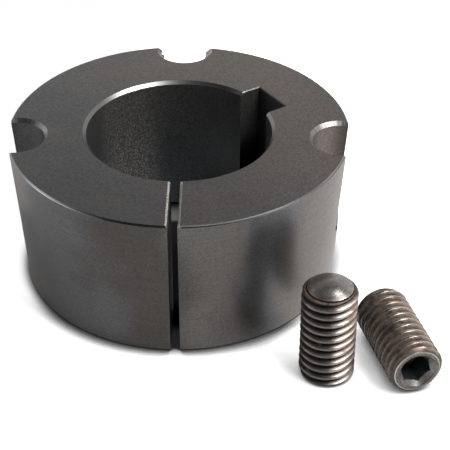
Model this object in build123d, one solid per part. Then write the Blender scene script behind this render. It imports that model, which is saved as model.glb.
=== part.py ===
from build123d import *
import math
import os

# A split taper bush with a keyed bore and its two clamping screws, in millimetres.
# The origin is on the bush's axis, in the plane of its small end, which it stands on.
# +Z runs up to the large end, and the saw slit faces -Y.
# Plan angles are in degrees from +X towards +Y.

# Bush body
large_end_diameter = 69.85
bush_length = 31.75
taper_half_angle = 4.0
large_rim_break = 0.35
small_rim_break = 0.4
bore_diameter = 38.1
bore_chamfer = 0.65

# Keyway, its depth measured up from the bore at the keyway's side
keyway_width = 9.525
keyway_depth = 4.89
keyway_angle = 34.5
keyway_edge_break = 0.2

# Slit
slit_angle = -90.0
slit_width = 1.9
slit_edge_break = 0.5

# Screws, plain at the thread's crests; crests and length are under the nominal by the allowances
screw_diameter = 11.1125
thread_crest_allowance = 0.27
screw_length = 22.225
screw_length_allowance = 0.365
screw_socket_chamfer = 0.9
screw_tip_chamfer = 1.0
screw_tip_radius = 8.33
socket_across_flats = 5.55625
socket_depth = 5.6
socket_drill_diameter = 5.3
socket_countersink = 0.6
drill_point_angle = 118.0
drill_chisel_width = 1.2

# Half holes round the large end: two plain ones for the clamping screws, one for jacking off.
# Their bolt circle is smaller than the large end by the inset, both as diameters.
bolt_circle_inset = 3.175
clamp_hole_clearance = 0.7935
clamp_hole_from_slit = 84.5
clamp_mouth_chamfer = 0.75
jack_hole_angle = 90.0
jack_hole_depth = 18.9
jack_mouth_chamfer = 0.5

# Where the two screws are, taken out beside the bush: the standing one at a plan angle and a gap
# from the bush's rim, the lying one's socket end at a plan angle from the standing one, further
# off than one screw's diameter by the gap between them
standing_screw_angle = -52.1
standing_screw_gap = 8.0
lying_screw_angle = -20.6
lying_screw_gap = 7.2
lying_screw_heading = 106.4
lying_socket_turn = 47.5

# How far a cutter runs past the face that it opens
overrun = 2.0

large_end_radius = large_end_diameter / 2
bore_radius = bore_diameter / 2
bolt_circle_radius = (large_end_diameter - bolt_circle_inset) / 2
screw_radius = screw_diameter / 2
crest_radius = (screw_diameter - thread_crest_allowance) / 2
finished_length = screw_length - screw_length_allowance
clamp_hole_radius = (screw_diameter + clamp_hole_clearance) / 2


def drill_point_length(radius):
    """Length of the cone that a drill of this radius leaves at the end of its hole."""
    return (radius - drill_chisel_width / 2) / math.tan(math.radians(drill_point_angle / 2))


def revolved(points):
    """Solid of revolution about Z from the points (radius, height) of its half section."""
    return revolve(make_face(Plane.XZ * Polyline(*points, close=True)), Axis.Z)


def turned_blank():
    """The turned bush: taper outside, straight bore, broken edges."""
    small_end_radius = large_end_radius - bush_length * math.tan(math.radians(taper_half_angle))
    slope = math.tan(math.radians(taper_half_angle))
    return revolved(
        [
            (bore_radius + bore_chamfer, 0),
            (small_end_radius - small_rim_break, 0),
            (small_end_radius + small_rim_break * slope, small_rim_break),
            (large_end_radius - large_rim_break * slope, bush_length - large_rim_break),
            (large_end_radius - large_rim_break, bush_length),
            (bore_radius + bore_chamfer, bush_length),
            (bore_radius, bush_length - bore_chamfer),
            (bore_radius, bore_chamfer),
        ]
    )


def slot_cutter(inner, outer, width, edge_break, angle):
    """Cutter for a slot from the bore outwards, with its upper edges broken."""
    length = outer - inner
    middle = (inner + outer) / 2
    slot = Pos(middle, 0, bush_length / 2) * Box(length, width, bush_length + 2 * overrun)
    mouth_plane = Plane((middle, 0, bush_length))
    mouth = extrude(
        mouth_plane * Rectangle(length + 2 * edge_break, width + 2 * edge_break),
        amount=-edge_break,
        taper=45,
    )
    return Rot(0, 0, angle) * (slot + mouth)


def keyway_cutter():
    """Keyway for a parallel key, with square corners."""
    side_height = math.sqrt(bore_radius**2 - (keyway_width / 2) ** 2)
    return slot_cutter(
        bore_radius / 2, side_height + keyway_depth, keyway_width, keyway_edge_break, keyway_angle
    )


def slit_cutter():
    """The saw cut through one wall, which lets the bush close on its shaft."""
    return slot_cutter(
        bore_radius / 2, large_end_radius + overrun, slit_width, slit_edge_break, slit_angle
    )


def hole_cutter(radius, depth, mouth_chamfer, angle):
    """Cutter for a blind drilled hole from the large end, on the bolt circle, with a countersunk mouth."""
    top = bush_length + overrun
    drill = revolved(
        [
            (0, bush_length - depth - drill_point_length(radius)),
            (drill_chisel_width / 2, bush_length - depth - drill_point_length(radius)),
            (radius, bush_length - depth),
            (radius, bush_length - mouth_chamfer),
            (radius + mouth_chamfer, bush_length),
            (radius + mouth_chamfer, top),
            (0, top),
        ]
    )
    return Rot(0, 0, angle) * Pos(bolt_circle_radius, 0, 0) * drill


def taper_bush():
    """The whole bush, one solid."""
    clamp_hole_depth = screw_length - drill_point_length(clamp_hole_radius)
    body = turned_blank() - keyway_cutter() - slit_cutter()
    for side in (-1, 1):
        angle = slit_angle + side * clamp_hole_from_slit
        body -= hole_cutter(clamp_hole_radius, clamp_hole_depth, clamp_mouth_chamfer, angle)
    body -= hole_cutter(screw_radius, jack_hole_depth, jack_mouth_chamfer, jack_hole_angle)
    return body


def screw():
    """Socket set screw with an oval point, standing on its socket end with its tip up."""
    dome_base = crest_radius - screw_tip_chamfer
    dome_height = screw_tip_radius - math.sqrt(screw_tip_radius**2 - dome_base**2)
    shoulder = finished_length - dome_height
    outline = [
        (0, 0),
        (crest_radius - screw_socket_chamfer, 0),
        (crest_radius, screw_socket_chamfer),
        (crest_radius, shoulder - screw_tip_chamfer),
        (dome_base, shoulder),
    ]
    sides = Polyline(*outline)
    half_way = math.asin(dome_base / screw_tip_radius) / 2
    dome_middle = (
        screw_tip_radius * math.sin(half_way),
        finished_length - screw_tip_radius * (1 - math.cos(half_way)),
    )
    dome = ThreePointArc((dome_base, shoulder), dome_middle, (0, finished_length))
    axis_line = Line((0, finished_length), (0, 0))
    blank = revolve(make_face(Plane.XZ * (sides + dome + axis_line)), Axis.Z)
    return blank - socket_cutter()


def socket_cutter():
    """Hexagon socket with a drilled bottom and a countersunk mouth."""
    corner_radius = socket_across_flats / 2 / math.cos(math.radians(30))
    hexagon = extrude(
        RegularPolygon(socket_across_flats / 2, 6, major_radius=False),
        amount=socket_depth,
    )
    drill_radius = socket_drill_diameter / 2
    drill = revolved(
        [
            (0, socket_depth / 2),
            (drill_radius, socket_depth / 2),
            (drill_radius, socket_depth),
            (drill_chisel_width / 2, socket_depth + drill_point_length(drill_radius)),
            (0, socket_depth + drill_point_length(drill_radius)),
        ]
    )
    countersunk = corner_radius + socket_countersink
    countersink = revolved([(0, 0), (countersunk, 0), (0, countersunk)])
    return hexagon + drill + countersink


def on_floor(angle, reach):
    """Point on the floor at a plan angle and a distance from the origin."""
    return Vector(reach * math.cos(math.radians(angle)), reach * math.sin(math.radians(angle)))


def standing_place():
    """Where the standing screw's axis meets the floor."""
    return on_floor(standing_screw_angle, large_end_radius + standing_screw_gap + crest_radius)


def standing_screw():
    """One screw stood on its socket end in front of the bush."""
    return Pos(standing_place()) * screw()


def lying_screw():
    """The other screw laid on its side, with its socket to the front."""
    place = standing_place() + on_floor(lying_screw_angle, 2 * crest_radius + lying_screw_gap)
    laid = Rot(0, 90, 0) * Rot(0, 0, lying_socket_turn) * screw()
    return Pos(place.X, place.Y, crest_radius) * Rot(0, 0, lying_screw_heading) * laid


nodes = {
    "taper_bush": taper_bush(),
    "set_screw_standing": standing_screw(),
    "set_screw_lying": lying_screw(),
}

os.makedirs("parts", exist_ok=True)
for name, shape in nodes.items():
    export_step(shape, f"parts/{name}.step")
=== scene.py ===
import math
import random

import bmesh
import bpy
from mathutils import Matrix, Vector


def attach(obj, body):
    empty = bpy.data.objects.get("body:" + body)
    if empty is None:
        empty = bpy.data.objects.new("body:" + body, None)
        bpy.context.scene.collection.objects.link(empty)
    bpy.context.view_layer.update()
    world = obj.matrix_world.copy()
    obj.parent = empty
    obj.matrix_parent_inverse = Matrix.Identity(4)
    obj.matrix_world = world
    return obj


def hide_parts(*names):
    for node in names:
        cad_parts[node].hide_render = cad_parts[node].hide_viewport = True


# A split taper bush in blackened iron with its two clamping screws taken out beside it.
# Sizes are in millimetres; MM turns them into metres.
MM = 0.001

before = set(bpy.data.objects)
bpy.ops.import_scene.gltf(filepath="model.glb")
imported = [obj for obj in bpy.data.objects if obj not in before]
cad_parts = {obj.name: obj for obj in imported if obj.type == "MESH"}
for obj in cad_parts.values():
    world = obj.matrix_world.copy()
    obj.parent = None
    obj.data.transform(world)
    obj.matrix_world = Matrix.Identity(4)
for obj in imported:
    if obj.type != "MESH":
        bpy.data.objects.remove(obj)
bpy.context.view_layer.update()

# Bush, as in its solid
LARGE_END_RADIUS = 34.925
BUSH_LENGTH = 31.75
TAPER = math.tan(math.radians(4.0))
BORE_RADIUS = 19.05
BORE_CHAMFER = 0.65
BOLT_CIRCLE_RADIUS = 33.3375
CLAMP_HOLE_FROM_SLIT = 84.5
JACK_HOLE_DEPTH = 18.9
JACK_MOUTH_CHAMFER = 0.5
SLIT_HALF_WIDTH = 0.95
SLIT_EDGE_BREAK = 0.5

# Screws, as in their solids, with their real thread
THREAD_MAJOR_RADIUS = 5.55625
THREAD_ROOT_RADIUS = 4.56
THREAD_PITCH = 25.4 / 14
CREST_RADIUS = 5.42125
SCREW_LENGTH = 21.86
SOCKET_CHAMFER = 0.9
TIP_CHAMFER = 1.0
TIP_RADIUS = 8.33
TIP_GROOVE = 0.22
SOCKET_APOTHEM = 5.55625 / 2
SOCKET_DEPTH = 5.6
SOCKET_COUNTERSINK = 0.6
SOCKET_DRILL_RADIUS = 2.65
DRILL_CHISEL_RADIUS = 0.6
DRILL_HALF_ANGLE = math.radians(59)
END_BEVEL = 0.06
TIP_BASE = CREST_RADIUS - TIP_CHAMFER
SHOULDER = SCREW_LENGTH - TIP_RADIUS + math.sqrt(TIP_RADIUS**2 - TIP_BASE**2)
SCREW_COLUMNS = 96
DOME_RINGS = 12

# The jacking half hole's thread: a shell just inside the wall, backed by a layer in the metal,
# that stops short of the bush's outside
JACK_CREST_RADIUS = 4.68
JACK_ROOT_RADIUS = THREAD_MAJOR_RADIUS - 0.03
JACK_BACKING_RADIUS = THREAD_MAJOR_RADIUS + 0.1
JACK_SKIN_GAP = 0.1
JACK_COLUMNS = 40
JACK_ROWS_PER_TURN = 24

# Points of a mesh nearer than this, in millimetres, become one; shorter edges go
MERGE_DISTANCE = 1e-4
COLLAPSE_DISTANCE = 1e-5

# Where the screws are: plan angles in degrees, gaps as in the solids, and how far each thread
# is turned, in pitches
STANDING_ANGLE = -52.1
STANDING_GAP = 8.0
STANDING_PHASE = 0.57
LYING_ANGLE = -20.6
LYING_GAP = 7.2
LYING_HEADING = 106.4
LYING_TURN = 47.5
LYING_PHASE = 0.90

# Camera, fitted for an image 450 pixels wide
IMAGE_WIDTH = 450.0
FOCAL_PIXELS = 1489.1
SENSOR_WIDTH = 36.0
EYE = Vector((12.16, -259.85, 191.53))
EYE_RIGHT = Vector((0.99992, 0.012318, 0.002703))
EYE_UP = Vector((-0.009322, 0.577671, 0.816217))

# What the lamps look at
LAMP_TARGET = Vector((10.0, -10.0, 15.0))


class Shader:
    """Builds the nodes of one material or world."""

    def __init__(self, owner):
        self.owner = owner
        owner.use_nodes = True
        self.tree = owner.node_tree
        self.tree.nodes.clear()

    def add(self, kind, **settings):
        node = self.tree.nodes.new(kind)
        for key, value in settings.items():
            setattr(node, key, value)
        return node

    def put(self, value, socket):
        """Links a socket, or sets a number or colour."""
        if isinstance(value, bpy.types.NodeSocket):
            self.tree.links.new(value, socket)
        else:
            socket.default_value = value

    def fill(self, node, values):
        """Puts the values into the node's first sockets."""
        for value, socket in zip(values, node.inputs):
            self.put(value, socket)
        return node

    def math(self, operation, *values):
        return self.fill(self.add("ShaderNodeMath", operation=operation), values).outputs[0]

    def chain(self, operation, values):
        result = values[0]
        for value in values[1:]:
            result = self.math(operation, result, value)
        return result

    def times(self, *values):
        return self.chain("MULTIPLY", values)

    def plus(self, *values):
        return self.chain("ADD", values)

    def most(self, *values):
        """The largest of the values."""
        return self.chain("MAXIMUM", values)

    def minus(self, first, second):
        return self.math("SUBTRACT", first, second)

    def less(self, value):
        """One minus the value."""
        return self.minus(1.0, value)

    def switch(self, mask, off, on):
        """One value where the mask is nothing, the other where it is one."""
        return self.plus(self.times(off, self.less(mask)), self.times(on, mask))

    def towards(self, angle, degrees):
        """Cosine of how far the angle is from the given one."""
        return self.math("COSINE", self.minus(angle, math.radians(degrees)))

    def vector(self, operation, *values, output="Vector"):
        node = self.add("ShaderNodeVectorMath", operation=operation)
        return self.fill(node, values).outputs[output]

    def combine(self, x, y, z):
        return self.fill(self.add("ShaderNodeCombineXYZ"), (x, y, z)).outputs[0]

    def parts(self, vector):
        node = self.fill(self.add("ShaderNodeSeparateXYZ"), (vector,))
        return node.outputs["X"], node.outputs["Y"], node.outputs["Z"]

    def distance(self, x, y):
        return self.vector("LENGTH", self.combine(x, y, 0.0), output="Value")

    def ramp(self, value, low, high, start=0.0, end=1.0):
        """Smooth step of the value from low to high, giving start to end."""
        node = self.add("ShaderNodeMapRange", interpolation_type="SMOOTHSTEP")
        return self.fill(node, (value, low, high, start, end)).outputs["Result"]

    def band(self, value, centre, reach, soft):
        """One within reach of the centre, falling to nothing over the soft width."""
        off = self.math("ABSOLUTE", self.minus(value, centre))
        return self.ramp(off, reach, reach + soft, 1.0, 0.0)

    def mix(self, factor, first, second, blend="MIX"):
        node = self.add("ShaderNodeMix", data_type="RGBA", blend_type=blend)
        self.put(factor, node.inputs[0])
        colours = [socket for socket in node.inputs if socket.type == "RGBA"]
        self.put(first, colours[0])
        self.put(second, colours[1])
        return [socket for socket in node.outputs if socket.type == "RGBA"][0]

    def layered(self, colour, layers):
        """Lays the colour of each (mask, colour) over what is there."""
        for mask, layer in layers:
            colour = self.mix(mask, colour, layer)
        return colour

    def sweep(self, value, colour, steps):
        """Changes to the colour of each (low, high, colour) as the value goes from low to high."""
        return self.layered(colour, [(self.ramp(value, low, high), tint) for low, high, tint in steps])

    def shaded(self, colour, value):
        """The colour made darker or lighter by a factor."""
        return self.mix(1.0, colour, self.combine(value, value, value), "MULTIPLY")

    def noise(self, vector, scale, detail=3.0, roughness=0.5):
        node = self.add("ShaderNodeTexNoise")
        self.put(vector, node.inputs["Vector"])
        node.inputs["Scale"].default_value = scale
        node.inputs["Detail"].default_value = detail
        node.inputs["Roughness"].default_value = roughness
        return node.outputs["Fac"]

    def bump(self, height, strength, distance, normal=None):
        node = self.add("ShaderNodeBump")
        node.inputs["Strength"].default_value = strength
        node.inputs["Distance"].default_value = distance * MM
        self.put(height, node.inputs["Height"])
        if normal is not None:
            self.put(normal, node.inputs["Normal"])
        return node.outputs["Normal"]

    def place(self):
        """Object coordinates in millimetres."""
        node = self.add("ShaderNodeVectorMath", operation="SCALE")
        self.put(self.add("ShaderNodeTexCoord").outputs["Object"], node.inputs[0])
        node.inputs["Scale"].default_value = 1 / MM
        return node.outputs[0]

    def diffuse(self, colour):
        node = self.add("ShaderNodeBsdfDiffuse")
        self.put(colour, node.inputs["Color"])
        return node.outputs[0]

    def white_light(self, kind, strength):
        """White glow of a surface or background."""
        node = self.add(kind)
        node.inputs["Color"].default_value = grey(1.0)
        self.put(strength, node.inputs["Strength"])
        return node.outputs[0]

    def choose(self, factor, first, second):
        """Mixes two shaders."""
        return self.fill(self.add("ShaderNodeMixShader"), (factor, first, second)).outputs[0]

    def output(self, kind, surface):
        self.put(surface, self.add(kind).inputs["Surface"])
        return self.owner

    def metal(self, colour, roughness, normal, metallic=1.0):
        surface = self.add("ShaderNodeBsdfPrincipled")
        self.put(colour, surface.inputs["Base Color"])
        self.put(roughness, surface.inputs["Roughness"])
        self.put(metallic, surface.inputs["Metallic"])
        self.put(normal, surface.inputs["Normal"])
        return self.output("ShaderNodeOutputMaterial", surface.outputs[0])


def grey(value):
    return (value, value, value, 1.0)


def rgb(red, green, blue):
    return (red, green, blue, 1.0)


# How each screw is worn and on which side it takes a painted highlight: sides in degrees round its
# axis, seed moves its patches
STANDING_FINISH = {
    "seed": 1.0,
    "root": grey(0.016),
    "crest": rgb(0.18, 0.165, 0.155),
    # Side with the painted highlight
    "lit_side": -48.0,
    "rust": 0.11,
    "rust_side": -15.0,
    "rust_tint": rgb(0.3, 0.185, 0.125),
    "patch_scale": 0.28,
    "grime": 0.0,
    "polish": 0.3,
}
LYING_FINISH = {
    "seed": 2.0,
    "root": rgb(0.07, 0.06, 0.052),
    "crest": rgb(0.135, 0.116, 0.101),
    # Side with the painted highlight
    "lit_side": 160.0,
    "rust": 0.3,
    "rust_side": 100.0,
    "rust_tint": rgb(0.21, 0.153, 0.122),
    "patch_scale": 0.5,
    "grime": 0.17,
    "polish": 0.2,
}


class BushPlace:
    """Where a point of the bush is, its clouds and grain, and a mask for each kind of surface."""

    def __init__(self, s):
        self.place = s.place()
        self.x, self.y, self.z = s.parts(self.place)
        self.radius = s.distance(self.x, self.y)
        self.from_slit = s.math("ARCTAN2", self.x, s.times(self.y, -1.0))
        self.drift = s.minus(s.noise(self.place, 0.055, 2.0, 0.5), 0.5)
        self.grain = s.plus(
            s.times(s.noise(self.place, 2.6, 3.0, 0.6), 0.5),
            s.times(s.noise(self.place, 5.5, 2.0, 0.6), 0.5),
        )

        # The normal's height is 1 on the end face, about 0.7 on broken edges, below 0 on the taper
        up = s.parts(s.add("ShaderNodeNewGeometry").outputs["True Normal"])[2]
        self.end_face = s.ramp(up, 0.93, 0.97)
        self.edge = s.times(s.ramp(up, 0.35, 0.5), s.less(self.end_face))
        self.taper = s.times(s.ramp(up, -0.05, -0.06), s.ramp(self.radius, 31.5, 31.9))
        within = s.ramp(self.radius, 24.0, 23.9)
        self.bore = s.times(within, s.less(self.end_face), s.less(self.edge))
        self.bore_edge = s.ramp(self.radius, 20.4, 20.2)


def end_face_colour(s, at):
    """Cool at the left, warmer at the right, with painted shade darker in front; also on the walls of
    the half holes, where the right one's wall takes painted light.
    """
    across = s.plus(at.x, s.times(at.y, 0.45), s.times(at.drift, 60.0))
    cloud = s.noise(s.vector("ADD", at.place, (37.0, 11.0, 5.0)), 0.08, 2.0, 0.5)
    face = s.sweep(across, rgb(0.094, 0.092, 0.095), [(-26.0, 22.0, rgb(0.135, 0.112, 0.101))])
    face = s.mix(s.times(s.ramp(cloud, 0.46, 0.66), 0.7), face, rgb(0.112, 0.107, 0.093))
    # Painted reflection shading, darker towards the front; the face is also made lighter at the front
    # right
    front_right = s.times(s.ramp(at.x, 8.0, 28.0), s.ramp(at.y, 10.0, -15.0), 0.13)
    face = s.shaded(face, s.plus(s.ramp(at.y, -32.0, 32.0, 0.64, 0.98), front_right))
    # Painted light on the right half hole's wall, up to 1.7 times lighter
    right_hole = s.times(s.less(at.end_face), at.x)
    return s.shaded(face, s.ramp(right_hole, 26.0, 30.0, 1.0, 1.7))


def taper_painted_reflections(s, at):
    """Tints round the taper that paint its reflections: dark beside the slit and lighter at the right,
    at the far left and towards the back.
    """
    turned = s.plus(at.from_slit, s.times(at.drift, 0.8))
    # A bluish painted highlight high up, right of the slit
    painted_streak_highlight = s.times(s.band(at.from_slit, 0.52, 0.06, 0.1), s.ramp(at.z, 21.0, 30.0))
    # Painted light: lighter towards the right
    side = s.sweep(turned, rgb(0.141, 0.132, 0.124), [(0.3, 0.9, rgb(0.228, 0.206, 0.19))])
    # Painted reflections: a cool band on the left, a dark one just left of the slit, lighter at the
    # far left, a grey band right of the slit, the painted highlight, lighter towards the back
    return s.layered(
        side,
        [
            (s.band(turned, -0.72, 0.2, 0.4), rgb(0.126, 0.126, 0.131)),
            (s.band(turned, -0.17, 0.12, 0.3), rgb(0.084, 0.077, 0.071)),
            (s.ramp(turned, -0.9, -1.2), rgb(0.195, 0.18, 0.168)),
            (s.band(turned, 0.56, 0.04, 0.16), rgb(0.2, 0.2, 0.207)),
            (painted_streak_highlight, rgb(0.26, 0.265, 0.28)),
            (s.ramp(at.y, 6.0, 26.0), rgb(0.185, 0.17, 0.158)),
        ],
    )


def bore_colour(s, at):
    """Dark, with a grainy pool of painted light at the back left that fades higher up."""
    speck = s.ramp(s.noise(at.place, 3.4, 2.0, 0.6), 0.42, 0.62)
    lit_speckle = s.mix(speck, rgb(0.05, 0.048, 0.046), rgb(0.2, 0.196, 0.19))
    # Painted light: the grainy lit patch at the back left
    inside = s.mix(s.band(at.from_slit, -2.45, 0.15, 0.4), rgb(0.04, 0.044, 0.047), lit_speckle)
    # Higher up the colour goes half way to a plain dark brown, fading the painted light
    return s.mix(s.ramp(at.z, 14.0, 27.0, 0.0, 0.5), inside, rgb(0.06, 0.055, 0.05))


def rim_wear_and_painted_highlights(s, at):
    """Cleaner metal of the rim's broken edge, its lower and its upper half, from left to right,
    lighter and darker in places along the rim to paint its highlights and dark reflections.
    """
    plain = rgb(0.24, 0.24, 0.25)
    # Along the rim: painted highlights left of the front, painted dark at the slit, lighter again to
    # the right
    lower = [
        (-1.1, -0.75, rgb(0.4, 0.4, 0.42)),
        (-0.72, -0.6, rgb(0.68, 0.68, 0.7)),
        (-0.45, -0.36, plain),
        (-0.05, 0.05, rgb(0.018, 0.018, 0.019)),
        (0.4, 0.9, rgb(0.15, 0.149, 0.149)),
    ]
    upper = [
        (-1.1, -0.8, plain),
        (-0.05, 0.3, rgb(0.05, 0.05, 0.051)),
        (0.35, 0.7, rgb(0.12, 0.119, 0.119)),
        (0.85, 1.05, rgb(0.25, 0.249, 0.249)),
    ]
    lower_half = s.sweep(at.from_slit, rgb(0.11, 0.11, 0.114), lower)
    upper_half = s.sweep(at.from_slit, rgb(0.1, 0.1, 0.104), upper)
    return s.mix(s.ramp(at.z, 31.52, 31.58), lower_half, upper_half)


def chattered_mouths(s, at, colour):
    """Ticks that the countersink left in both plain half holes' mouths, and the mouths' mask."""
    tints = {
        -1: (rgb(0.13, 0.125, 0.12), rgb(0.23, 0.222, 0.213)),
        1: (rgb(0.17, 0.163, 0.156), rgb(0.3, 0.288, 0.276)),
    }
    masks = []
    for side, (low, high) in tints.items():
        hole = math.radians(-90.0 + side * CLAMP_HOLE_FROM_SLIT)
        hole_x = s.minus(at.x, BOLT_CIRCLE_RADIUS * math.cos(hole))
        hole_y = s.minus(at.y, BOLT_CIRCLE_RADIUS * math.sin(hole))
        near = s.ramp(s.distance(hole_x, hole_y), 7.0, 6.8)
        turn = s.combine(s.times(s.math("ARCTAN2", hole_y, hole_x), 13.0), 0.0, float(side))
        chatter = s.ramp(s.noise(turn, 1.0, 2.0, 0.5), 0.36, 0.64)
        colour = s.mix(near, colour, s.mix(chatter, low, high))
        masks.append(near)
    return colour, s.plus(*masks)


def edge_colours(s, at):
    """Colour of all the broken edges of the bush, and the mask of the plain half holes' mouths."""
    slit_edge = s.times(s.ramp(s.math("ABSOLUTE", at.x), 1.7, 1.6), s.ramp(at.y, -18.0, -18.5))
    colour = s.mix(slit_edge, rim_wear_and_painted_highlights(s, at), rgb(0.26, 0.255, 0.25))
    colour, mouths = chattered_mouths(s, at, colour)
    keyway_edge = s.times(s.ramp(at.radius, 27.0, 26.5), s.less(slit_edge))
    colour = s.mix(keyway_edge, colour, rgb(0.04, 0.039, 0.038))
    # The bore's chamfer is cleaner metal, dimmed to the right and to the left to paint where its
    # highlight stops
    bore_steps = [(4.0, 10.0, rgb(0.12, 0.116, 0.11)), (-13.0, -17.0, rgb(0.18, 0.175, 0.17))]
    bore_edge_wear_and_highlight = s.sweep(at.x, rgb(0.3, 0.29, 0.28), bore_steps)
    return s.mix(at.bore_edge, colour, bore_edge_wear_and_highlight), mouths


def iron_roughness(s, at, mouths):
    """Satin, smoother on the taper and the edges, but not in the mouths or on the right of the rim."""
    rough = s.switch(at.taper, s.ramp(at.grain, 0.3, 0.7, 0.34, 0.44), 0.28)
    rough = s.switch(at.edge, rough, 0.24)
    rim = s.times(at.edge, s.ramp(at.radius, 33.9, 34.1), s.less(mouths))
    return s.plus(
        rough,
        s.times(at.edge, at.bore_edge, 0.1),
        s.times(at.edge, mouths, 0.16),
        s.times(rim, s.ramp(at.from_slit, -0.05, 0.05, 0.0, 0.17)),
    )


def blackened_iron():
    """Machined and blackened iron: grainy end face and bore, smoother taper, cleaner broken edges."""
    s = Shader(bpy.data.materials.new("blackened_iron"))
    at = BushPlace(s)
    colour = s.mix(at.taper, end_face_colour(s, at), taper_painted_reflections(s, at))
    colour = s.mix(at.bore, colour, bore_colour(s, at))

    # Grain of the ground end face and the bore, turning marks on the taper
    around = s.combine(s.times(at.x, 0.09), s.times(at.y, 0.09), s.times(at.z, 5.0))
    marks = s.noise(around, 1.0, 3.0, 0.6)
    grain_shade = s.ramp(at.grain, 0.3, 0.7, 0.3, 1.7)
    mark_shade = s.ramp(marks, 0.3, 0.7, 0.88, 1.12)
    taper_shade = s.plus(s.times(mark_shade, 0.6), s.times(grain_shade, 0.4))
    calm_shade = s.plus(s.times(grain_shade, 0.7), 0.3)
    open_shade = s.switch(at.bore, calm_shade, grain_shade)
    colour = s.shaded(colour, s.switch(at.taper, open_shade, taper_shade))

    edges, mouths = edge_colours(s, at)
    colour = s.mix(at.edge, colour, edges)
    grain_bump = s.times(at.grain, s.less(s.times(at.taper, 0.75)), s.less(at.edge))
    bumped = s.bump(grain_bump, 0.6, 0.03)
    bumped = s.bump(s.times(marks, at.taper), 0.1, 0.01, bumped)
    shares = ((at.edge, 0.5), (at.taper, 0.35), (at.end_face, 0.15), (at.bore, -0.2))
    metallic = s.plus(0.5, *[s.times(mask, share) for mask, share in shares])
    return s.metal(colour, iron_roughness(s, at, mouths), bumped, metallic)


class ScrewPlace:
    """Where a point of a screw is, along and round its own axis, with masks and its patches."""

    def __init__(self, s, seed, patch_scale):
        place = s.add("ShaderNodeAttribute", attribute_name="along_screw").outputs["Vector"]
        x, self.y, self.z = s.parts(place)
        self.radius = s.distance(x, self.y)
        self.angle = s.math("ARCTAN2", self.y, x)

        self.moved = s.vector("ADD", place, (seed * 17.0, seed * 5.0, seed * 9.0))
        rings = s.combine(s.times(self.angle, 2.0), s.times(self.z, 4.5), s.times(self.radius, 6.0))
        self.scratches = s.noise(rings, 1.0, 3.0, 0.6)
        self.blotch = s.noise(self.moved, patch_scale, 3.0, 0.55)
        self.speck = s.noise(self.moved, 1.6, 4.0, 0.7)

        above = s.minus(self.z, SHOULDER)

        # The thread, then the tip from its ledge to its dome, then the socket end
        self.flank = s.ramp(self.radius, THREAD_ROOT_RADIUS + 0.03, CREST_RADIUS - 0.15)
        crest = s.ramp(self.radius, CREST_RADIUS - 0.5, CREST_RADIUS - 0.06)
        self.crest = s.math("POWER", crest, 1.5)
        self.dome = s.ramp(above, -0.05, -0.02)
        below_groove = s.times(s.ramp(above, -0.62, -0.52), s.ramp(above, -0.21, -0.25))
        self.ledge = s.times(below_groove, s.ramp(self.radius, 4.5, 4.6))
        self.groove = s.times(s.ramp(above, -0.23, -0.19), s.less(self.dome))
        self.end = s.times(s.ramp(self.z, 0.15, 0.08), s.ramp(self.radius, 3.7, 3.75))
        self.socket = s.times(s.ramp(self.radius, 3.75, 3.7), s.ramp(self.z, 8.0, 7.9))
        self.countersink = s.times(self.socket, s.ramp(self.z, 1.1, 0.9))
        self.end_rim = s.times(s.band(self.radius, 4.53, 0.06, 0.08), s.ramp(self.z, 0.35, 0.25))


def thread_colour(s, at, finish):
    """Dark roots and brown flanks, up to crests; on the side towards the key lamp crests and flanks
    take a painted highlight, and the crests take a little painted light on the far side.
    """
    toward = s.towards(at.angle, finish["lit_side"])
    toward = s.plus(toward, s.times(s.minus(at.blotch, 0.5), 0.5))
    # Painted highlight on crests and flanks on the side towards the key lamp; the crests are also
    # painted a little lighter on the far side
    painted_glint = s.times(s.ramp(toward, 0.74, 0.97), 2.2)
    bright = s.shaded(finish["crest"], s.plus(s.ramp(toward, -0.2, 0.75, 1.15, 1.0), painted_glint))
    brown = s.mix(s.ramp(at.blotch, 0.4, 0.6), rgb(0.094, 0.076, 0.063), rgb(0.124, 0.087, 0.066))
    brown = s.shaded(brown, s.plus(1.0, painted_glint))
    return s.layered(finish["root"], [(at.flank, brown), (at.crest, bright)])


def dome_colour(s, at):
    """Greyer metal of the oval point, with painted shade darker on one side."""
    cloud = s.ramp(s.noise(at.moved, 0.9, 3.0, 0.6), 0.35, 0.65)
    patina = s.mix(cloud, rgb(0.24, 0.22, 0.205), rgb(0.33, 0.31, 0.29))
    # Painted shade: 1.15 times on one side of the dome down to 0.6 times on the other
    return s.shaded(patina, s.ramp(at.y, -2.5, 4.0, 1.15, 0.6))


def rust_mask(s, at, finish):
    """Patches of rust, more of them on one side and on the ledge below the groove."""
    rust = finish["rust"]
    rust_side = s.ramp(s.towards(at.angle, finish["rust_side"]), 0.6, 1.0)
    patches = s.plus(
        at.blotch, s.times(at.speck, 0.25), s.times(rust_side, 0.16), s.times(at.ledge, 0.35)
    )
    dome_middle = s.times(at.dome, s.ramp(at.radius, 4.3, 3.6))
    clean = s.most(dome_middle, at.socket, s.times(at.end, 0.4), at.end_rim)
    return s.times(s.ramp(patches, 0.86 - rust, 1.02 + finish["grime"] - rust), s.less(clean))


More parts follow.
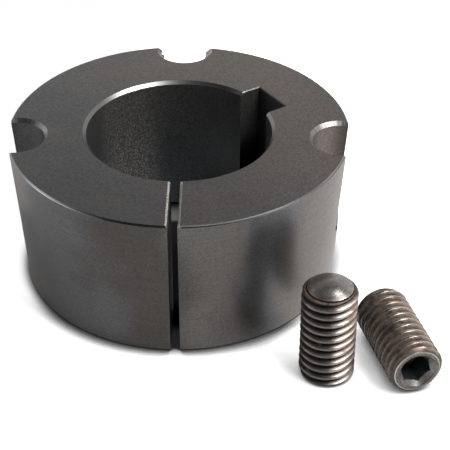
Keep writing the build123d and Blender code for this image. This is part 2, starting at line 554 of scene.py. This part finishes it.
def screw_steel(name, finish):
    """Blackened steel, bright where its crests are worn and brighter with a painted highlight on one
    side, dark in the roots, browned by rust.
    """
    s = Shader(bpy.data.materials.new(name))
    at = ScrewPlace(s, finish["seed"], finish["patch_scale"])
    grime = finish["grime"]
    polish = finish["polish"]
    colour = s.layered(
        thread_colour(s, at, finish),
        [
            (at.end, rgb(0.175, 0.16, 0.147)),
            (at.socket, rgb(0.075, 0.086, 0.097)),
            (at.countersink, rgb(0.22, 0.205, 0.195)),
            (at.dome, dome_colour(s, at)),
            # The groove under the dome is painted dark: painted shade in the groove
            (at.groove, rgb(0.05, 0.036, 0.028)),
        ],
    )
    scratched = s.plus(s.times(at.scratches, 0.5), s.times(at.speck, 0.5))
    scratch_shade = s.ramp(scratched, 0.3, 0.7, -0.32 - grime, 0.32 + grime)
    colour = s.shaded(colour, s.plus(1.0, s.times(scratch_shade, s.less(at.dome))))
    # Light band on the socket end's outer bevel: worn metal, made light enough to paint its highlight
    # too
    colour = s.mix(at.end_rim, colour, rgb(0.55, 0.525, 0.49))

    rusty = rust_mask(s, at, finish)
    rust_colour = s.mix(s.ramp(at.speck, 0.35, 0.65), rgb(0.14, 0.094, 0.07), finish["rust_tint"])
    colour = s.mix(s.times(rusty, 0.7 - grime), colour, rust_colour)

    shiny = s.most(at.crest, at.dome, at.end)
    rough = s.plus(s.times(rusty, 0.14), s.ramp(at.scratches, 0.3, 0.7, polish, polish + 0.1))
    rough = s.plus(rough, s.times(s.less(shiny), 0.1))
    rough = s.minus(rough, s.times(at.dome, polish - 0.24))
    metallic = s.minus(s.plus(0.7, s.times(shiny, 0.22)), s.times(rusty, 0.3))
    relief = s.times(s.plus(at.speck, at.scratches), s.less(s.times(at.dome, 0.85)))
    return s.metal(colour, rough, s.bump(relief, 0.12 + grime, 0.015), metallic)


def bare_metal():
    """Freshly torn metal of the saw cut's burr."""
    s = Shader(bpy.data.materials.new("bare_metal"))
    shine = s.noise(s.place(), 3.0, 3.0, 0.6)
    colour = s.mix(s.ramp(shine, 0.35, 0.65), rgb(0.3, 0.29, 0.27), rgb(0.78, 0.76, 0.72))
    rough = s.ramp(shine, 0.3, 0.7, 0.5, 0.32)
    return s.metal(colour, rough, s.bump(shine, 0.4, 0.03))


def floor_shadow(s, x, y, radius):
    """Shade of the floor close under things, lighter by the screws, and the mask of their place."""
    close = s.add("ShaderNodeAmbientOcclusion", samples=8)
    close.inputs["Distance"].default_value = 5 * MM
    openness = close.outputs["AO"]
    under_bush = s.ramp(openness, 0.5, 0.97, 0.03, 1.0)
    under_screws = s.ramp(openness, 0.22, 0.78, 0.06, 1.0)
    under_screws = s.times(under_screws, s.ramp(radius, 32.0, 39.0, 0.5, 1.0))
    clear_of_bush = s.most(s.ramp(radius, 36.0, 39.0), s.ramp(y, -26.0, -20.0))
    by_screws = s.times(s.ramp(x, 18.0, 26.0), clear_of_bush)
    return s.switch(by_screws, under_bush, under_screws), by_screws


def seen_floor(s, x, y, radius):
    """The floor as the camera sees it: white but for the shadows, with painted shade nearly black
    inside the bore and a painted patch of light at its back.
    """
    shade, by_screws = floor_shadow(s, x, y, radius)
    outside = s.ramp(radius, 24.0, 28.0)
    # Painted shade inside the bore, with a painted patch of light at its back in line with the slit
    painted_lit_patch = s.times(s.ramp(y, 11.5, 13.0), s.ramp(s.math("ABSOLUTE", x), 9.0, 2.0))
    painted_bore_floor = s.plus(0.06, s.times(painted_lit_patch, 0.54))
    level = s.times(shade, s.switch(outside, painted_bore_floor, 3.0))
    paper = s.diffuse(s.combine(level, level, level))
    glow = s.white_light("ShaderNodeEmission", s.times(shade, outside))
    near = s.choose(s.plus(0.45, s.times(by_screws, 0.2)), paper, glow)
    left = s.times(s.ramp(x, -18.0, -32.0), s.ramp(radius, 35.5, 44.0))
    back_left = s.times(
        s.ramp(x, -10.0, -20.0), s.ramp(y, -24.0, -13.0), s.ramp(radius, 32.4, 35.5)
    )
    plain_white = s.most(s.ramp(radius, 60.0, 220.0), left, back_left)
    return s.choose(plain_white, near, s.white_light("ShaderNodeEmission", 1.0))


def mirrored_floor(s, x, y, radius):
    """The floor as shiny things show it: pale, with a painted shadow between the bush and the standing
    screw.
    """
    # The painted shadow is an oval, longer outwards, along a line 60 degrees clockwise from +X
    shadow_reach = 42.5
    shadow_shift = 1.7
    squeeze = 0.55
    outward = s.plus(s.times(x, 0.5), s.times(y, -0.866))
    across = s.plus(s.times(x, 0.866), s.times(y, 0.5))
    along = s.times(s.minus(outward, shadow_reach), squeeze)
    level = s.ramp(s.distance(along, s.minus(across, shadow_shift)), 2.0, 7.0, 0.12, 0.8)
    near = s.diffuse(s.combine(level, level, level))
    return s.choose(s.ramp(radius, 60.0, 220.0), near, s.white_light("ShaderNodeEmission", 1.0))


def floor_material():
    """Pale floor: one look for the camera, one for mirrors, plain paper for all other light."""
    s = Shader(bpy.data.materials.new("floor_paper"))
    x, y, _ = s.parts(s.place())
    radius = s.distance(x, y)
    path = s.add("ShaderNodeLightPath").outputs
    mirrored = s.most(path["Is Glossy Ray"], path["Is Transmission Ray"])
    surface = s.choose(mirrored, s.diffuse(grey(0.85)), mirrored_floor(s, x, y, radius))
    surface = s.choose(path["Is Camera Ray"], surface, seen_floor(s, x, y, radius))
    return s.output("ShaderNodeOutputMaterial", surface)


def studio_world():
    """White backdrop, darker overhead and in front, but plain white where the camera sees it."""
    s = Shader(bpy.data.worlds.new("studio"))
    bpy.context.scene.world = s.owner
    direction = s.add("ShaderNodeTexCoord").outputs["Generated"]
    x, y, z = s.parts(direction)
    dim_corner = (-0.4056, -0.5792, 0.7071)
    corner = s.vector("DOT_PRODUCT", direction, dim_corner, output="Value")
    walls = s.times(
        s.ramp(z, 0.42, 0.8, 1.0, 0.08),
        s.ramp(corner, 0.7, 0.95, 1.0, 0.35),
        s.ramp(y, -0.35, 0.25, 0.3, 1.0),
        s.ramp(x, -0.75, -0.3, 1.7, 1.0),
    )
    room = s.white_light("ShaderNodeBackground", walls)
    white = s.white_light("ShaderNodeBackground", 1.0)
    path = s.add("ShaderNodeLightPath").outputs
    seen = s.most(path["Is Camera Ray"], path["Is Transmission Ray"])
    s.output("ShaderNodeOutputWorld", s.choose(seen, room, white))


def linked(name, data):
    """New object in the scene."""
    made = bpy.data.objects.new(name, data)
    bpy.context.scene.collection.objects.link(made)
    return made


def area_lamp(name, azimuth, elevation, distance, width, height, radiance):
    """Soft box that looks at the bush, in degrees and metres; its face has the given brightness."""
    data = bpy.data.lights.new(name, "AREA")
    data.shape = "RECTANGLE"
    data.size = width
    data.size_y = height
    data.energy = radiance * math.pi * width * height
    a = math.radians(azimuth)
    e = math.radians(elevation)
    outward = Vector((math.cos(a) * math.cos(e), math.sin(a) * math.cos(e), math.sin(e)))
    across = Vector((-math.sin(a), math.cos(a), 0.0))
    axes = Matrix((across, outward.cross(across), outward)).transposed().to_4x4()
    lamp = linked(name, data)
    lamp.matrix_world = Matrix.Translation(LAMP_TARGET * MM + outward * distance) @ axes
    lamp.visible_camera = False


def camera():
    data = bpy.data.cameras.new("camera")
    data.sensor_width = SENSOR_WIDTH
    data.lens = SENSOR_WIDTH * FOCAL_PIXELS / IMAGE_WIDTH
    data.clip_start = 10 * MM
    eye = linked("camera", data)
    axes = Matrix((EYE_RIGHT, EYE_UP, EYE_RIGHT.cross(EYE_UP))).transposed().to_4x4()
    eye.matrix_world = Matrix.Translation(EYE * MM) @ axes
    bpy.context.scene.camera = eye


def floor():
    half = 4000 * MM
    drop = 0.02 * MM
    mesh = bpy.data.meshes.new("floor")
    corners = [(-half, -half, 0.0), (half, -half, 0.0), (half, half, 0.0), (-half, half, 0.0)]
    mesh.from_pydata(corners, [], [(0, 1, 2, 3)])
    mesh.materials.append(floor_material())
    ground = linked("floor", mesh)
    ground.location.z = -drop


def finished(build, name, sharp=35.0):
    """Mesh in metres from millimetres, smooth but for its sharp edges."""
    bmesh.ops.remove_doubles(build, verts=build.verts, dist=MERGE_DISTANCE)
    bmesh.ops.dissolve_degenerate(build, edges=build.edges, dist=COLLAPSE_DISTANCE)
    bmesh.ops.recalc_face_normals(build, faces=build.faces)
    bmesh.ops.scale(build, vec=(MM, MM, MM), verts=build.verts)
    mesh = bpy.data.meshes.new(name)
    build.to_mesh(mesh)
    build.free()
    mesh.polygons.foreach_set("use_smooth", [True] * len(mesh.polygons))
    mesh.set_sharp_from_angle(angle=math.radians(sharp))
    return mesh


def new_piece(name, mesh, material):
    """Adds a piece that rides on the part's one body."""
    piece = linked(name, mesh)
    piece.data.materials.append(material)
    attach(piece, "root")
    return piece


def thread_outline(crest, root):
    """Half of a thread's section: distance along the axis from the crest's middle, and radius."""
    depth = crest - root
    flank = [
        (0.0, 0.0),
        (0.12, 0.008),
        (0.22, 0.04),
        (0.30, 0.11),
        (0.37, 0.22),
        (0.53, 0.55),
        (0.69, 0.86),
        (0.76, 0.96),
        (0.83, 0.995),
        (THREAD_PITCH / 2, 1.0),
    ]
    return [(along, crest - share * depth) for along, share in flank]


def thread_radius(outline, along):
    """Radius of the thread at a distance along the axis from the middle of a crest."""
    along = abs((along + THREAD_PITCH / 2) % THREAD_PITCH - THREAD_PITCH / 2)
    for (near, near_radius), (far, far_radius) in zip(outline, outline[1:]):
        if along <= far:
            return near_radius + (far_radius - near_radius) * (along - near) / (far - near)
    return outline[-1][1]


def round_axis(build, column, radius, height):
    """New point at one of the columns round a screw's axis."""
    angle = 2 * math.pi * column / SCREW_COLUMNS
    return build.verts.new((radius * math.cos(angle), radius * math.sin(angle), height))


def ring(build, radius, height):
    return [round_axis(build, i, radius, height) for i in range(SCREW_COLUMNS)]


def bridge(build, first, second):
    for i in range(SCREW_COLUMNS):
        k = (i + 1) % SCREW_COLUMNS
        build.faces.new((first[i], first[k], second[k], second[i]))


def thread_grid(build, phase):
    """Columns of points along a screw's thread, between its two ends, with the faces between."""
    outline = thread_outline(CREST_RADIUS, THREAD_ROOT_RADIUS)
    steps = [along for along, _ in outline]
    steps += [THREAD_PITCH - along for along, _ in reversed(outline[1:-1])]
    turns = int(SCREW_LENGTH / THREAD_PITCH) + 3
    rows = [(k - 2 + phase) * THREAD_PITCH + step for k in range(turns + 1) for step in steps]
    grid = []
    for i in range(SCREW_COLUMNS):
        rise = THREAD_PITCH * i / SCREW_COLUMNS
        column = []
        for row in rows:
            height = min(max(row + rise, END_BEVEL), SHOULDER - TIP_GROOVE)
            radius = thread_radius(outline, height - rise - phase * THREAD_PITCH)
            radius = min(radius, CREST_RADIUS - SOCKET_CHAMFER + height)
            radius = min(radius, TIP_BASE + SHOULDER - height)
            column.append(round_axis(build, i, radius, height))
        grid.append(column)
    for i in range(SCREW_COLUMNS):
        here = grid[i]
        there = grid[0][len(steps):] if i == SCREW_COLUMNS - 1 else grid[i + 1]
        for j in range(min(len(here), len(there)) - 1):
            build.faces.new((here[j], there[j], there[j + 1], here[j + 1]))
    return grid


def socket_end(build, thread_start):
    """Bevelled flat ring, countersink, hexagon and drilled bottom."""
    sunk = SOCKET_APOTHEM / math.cos(math.pi / 6) + SOCKET_COUNTERSINK
    bottom = SOCKET_DEPTH + (SOCKET_DRILL_RADIUS - DRILL_CHISEL_RADIUS) / math.tan(DRILL_HALF_ANGLE)
    hexagon = []
    for i in range(SCREW_COLUMNS):
        angle = 2 * math.pi * i / SCREW_COLUMNS
        hexagon.append(SOCKET_APOTHEM / math.cos(angle % (math.pi / 3) - math.pi / 6))
    rings = [
        thread_start,
        ring(build, CREST_RADIUS - SOCKET_CHAMFER - END_BEVEL, 0.0),
        ring(build, sunk, 0.0),
        [round_axis(build, i, radius, sunk - radius) for i, radius in enumerate(hexagon)],
        [round_axis(build, i, radius, SOCKET_DEPTH) for i, radius in enumerate(hexagon)],
        ring(build, SOCKET_DRILL_RADIUS, SOCKET_DEPTH),
        ring(build, DRILL_CHISEL_RADIUS, bottom),
    ]
    for first, second in zip(rings, rings[1:]):
        bridge(build, second, first)
    build.faces.new(reversed(rings[-1]))


def oval_point(build, thread_end):
    """Dome, with a small groove at its base."""
    # The groove's floor: how far in from the dome's base, and how far below the shoulder
    groove = [(0.02, TIP_GROOVE - 0.01), (0.05, 0.06)]
    rings = [thread_end]
    rings += [ring(build, TIP_BASE - inward, SHOULDER - below) for inward, below in groove]
    dome_angle = math.asin(TIP_BASE / TIP_RADIUS)
    for k in range(DOME_RINGS):
        tilt = dome_angle * (1 - k / DOME_RINGS)
        height = SCREW_LENGTH - TIP_RADIUS + TIP_RADIUS * math.cos(tilt)
        rings.append(ring(build, TIP_RADIUS * math.sin(tilt), height))
    for first, second in zip(rings, rings[1:]):
        bridge(build, first, second)
    build.faces.new(rings[-1])


def screw_mesh(name, phase, place):
    """Threaded set screw, moved to its place, with its own coordinates kept as an attribute."""
    build = bmesh.new()
    grid = thread_grid(build, phase)
    socket_end(build, [min(column, key=lambda vert: vert.co.z) for column in grid])
    oval_point(build, [max(column, key=lambda vert: vert.co.z) for column in grid])
    mesh = finished(build, name)
    kept = mesh.attributes.new("along_screw", "FLOAT_VECTOR", "POINT")
    for vert, item in zip(mesh.vertices, kept.data):
        item.vector = vert.co / MM
    mesh.transform(place)
    return mesh


def on_floor(angle, reach):
    """Point on the floor at a plan angle and a distance from the origin."""
    angle = math.radians(angle)
    return Vector((reach * math.cos(angle), reach * math.sin(angle), 0.0))


def rotation(degrees, axis):
    return Matrix.Rotation(math.radians(degrees), 4, axis)


def screws():
    """Both screws with their thread, in place of their plain solids."""
    middle = on_floor(STANDING_ANGLE, LARGE_END_RADIUS + STANDING_GAP + CREST_RADIUS)
    upright = Matrix.Translation(middle * MM)
    mesh = screw_mesh("screw_standing", STANDING_PHASE, upright)
    steel = screw_steel("screw_steel_standing", STANDING_FINISH)
    piece = new_piece("threaded_screw_standing", mesh, steel)
    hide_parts("set_screw_standing")

    end = middle + on_floor(LYING_ANGLE, 2 * CREST_RADIUS + LYING_GAP)
    end.z = CREST_RADIUS
    laid = Matrix.Translation(end * MM) @ rotation(LYING_HEADING, "Z")
    laid = laid @ rotation(90, "Y") @ rotation(LYING_TURN, "Z")
    mesh = screw_mesh("screw_lying", LYING_PHASE, laid)
    steel = screw_steel("screw_steel_lying", LYING_FINISH)
    piece = new_piece("threaded_screw_lying", mesh, steel)
    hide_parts("set_screw_lying")


def jack_half_width(radius, height):
    """How far round the jacking hole's axis the bush's outside cuts a circle of this radius."""
    skin = LARGE_END_RADIUS - (BUSH_LENGTH - height) * TAPER - JACK_SKIN_GAP
    cosine = (radius**2 + BOLT_CIRCLE_RADIUS**2 - skin**2) / (2 * radius * BOLT_CIRCLE_RADIUS)
    return math.acos(cosine)


def jack_point(radius, side, height):
    """Point round the jacking hole's axis; side goes from -1 to 1 across its open half."""
    turn = side * jack_half_width(radius, height)
    return radius * math.sin(turn), BOLT_CIRCLE_RADIUS - radius * math.cos(turn), height


def jack_thread(iron):
    """Half of a tapped thread on the wall of the jacking half hole."""
    root = JACK_ROOT_RADIUS
    top = BUSH_LENGTH - JACK_MOUTH_CHAMFER
    low = BUSH_LENGTH - JACK_HOLE_DEPTH
    columns = JACK_COLUMNS
    rows = int((top - low) / (THREAD_PITCH / JACK_ROWS_PER_TURN))
    outline = [
        (THREAD_PITCH / 2 - along, root + JACK_CREST_RADIUS - radius)
        for along, radius in reversed(thread_outline(root, JACK_CREST_RADIUS))
    ]

    build = bmesh.new()
    wall = []
    back = []
    for j in range(rows + 1):
        height = low + (top - low) * j / rows
        wall_row = []
        back_row = []
        for i in range(columns + 1):
            side = 2 * i / columns - 1
            rise = THREAD_PITCH * side * jack_half_width(root, height) / (2 * math.pi)
            radius = thread_radius(outline, height - rise)
            radius = max(radius, root - (top - height), root - (height - low))
            wall_row.append(build.verts.new(jack_point(radius, side, height)))
            back_row.append(build.verts.new(jack_point(JACK_BACKING_RADIUS, side, height)))
        wall.append(wall_row)
        back.append(back_row)
    for j in range(rows):
        for i in range(columns):
            build.faces.new((wall[j][i], wall[j][i + 1], wall[j + 1][i + 1], wall[j + 1][i]))
            build.faces.new((back[j][i], back[j + 1][i], back[j + 1][i + 1], back[j][i + 1]))
        for i in (0, columns):
            build.faces.new((wall[j][i], back[j][i], back[j + 1][i], wall[j + 1][i]))
    for j in (0, rows):
        for i in range(columns):
            build.faces.new((wall[j][i], wall[j][i + 1], back[j][i + 1], back[j][i]))
    new_piece("jack_thread", finished(build, "jack_thread", 40.0), iron)


def slit_burr():
    """Ragged burr that the saw left on one upper edge of the slit, within the broken edge."""
    chance = random.Random(7)
    end_gap = 0.4
    step = 0.14
    raggedness = 0.06
    droop = 0.09
    inner = BORE_RADIUS + BORE_CHAMFER
    outer = LARGE_END_RADIUS - end_gap
    left = -SLIT_HALF_WIDTH - SLIT_EDGE_BREAK
    top = BUSH_LENGTH
    count = int((outer - inner) / step)
    ragged = [chance.uniform(-1, 1) for _ in range(count + 1)]
    lift = [chance.uniform(0, 1) for _ in range(count + 1)]
    build = bmesh.new()
    sections = []
    for i in range(count + 1):
        y = -(inner + (outer - inner) * i / count)
        out = raggedness * ragged[i]
        drop = droop * lift[i]
        # Over the top of the burr towards the slit, then back under it
        section = [
            (left - 0.02, top - 0.03),
            (left + 0.12, top - 0.015 - 0.3 * drop),
            (left + 0.27 + out, top - 0.03 - drop),
            (left + 0.40 + out, top - 0.14 - drop),
            (left + 0.47 + out, top - 0.32 - drop),
            (left + 0.44, top - 0.52),
            (left + 0.10, top - 0.40),
        ]
        sections.append([build.verts.new((x, y, z)) for x, z in section])
    for first, second in zip(sections, sections[1:]):
        for k in range(len(first)):
            n = (k + 1) % len(first)
            build.faces.new((first[k], first[n], second[n], second[k]))
    build.faces.new(sections[0])
    build.faces.new(reversed(sections[-1]))
    new_piece("slit_burr", finished(build, "slit_burr"), bare_metal())


bpy.context.scene.view_settings.view_transform = "Standard"
camera()
studio_world()
area_lamp("key", azimuth=-28.0, elevation=52.0, distance=0.55, width=0.36, height=0.12, radiance=20.0)
area_lamp("top", azimuth=20.0, elevation=67.0, distance=0.55, width=0.09, height=0.12, radiance=11.0)
floor()
iron = blackened_iron()
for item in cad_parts["taper_bush"].material_slots:
    item.material = iron
screws()
jack_thread(iron)
slit_burr()
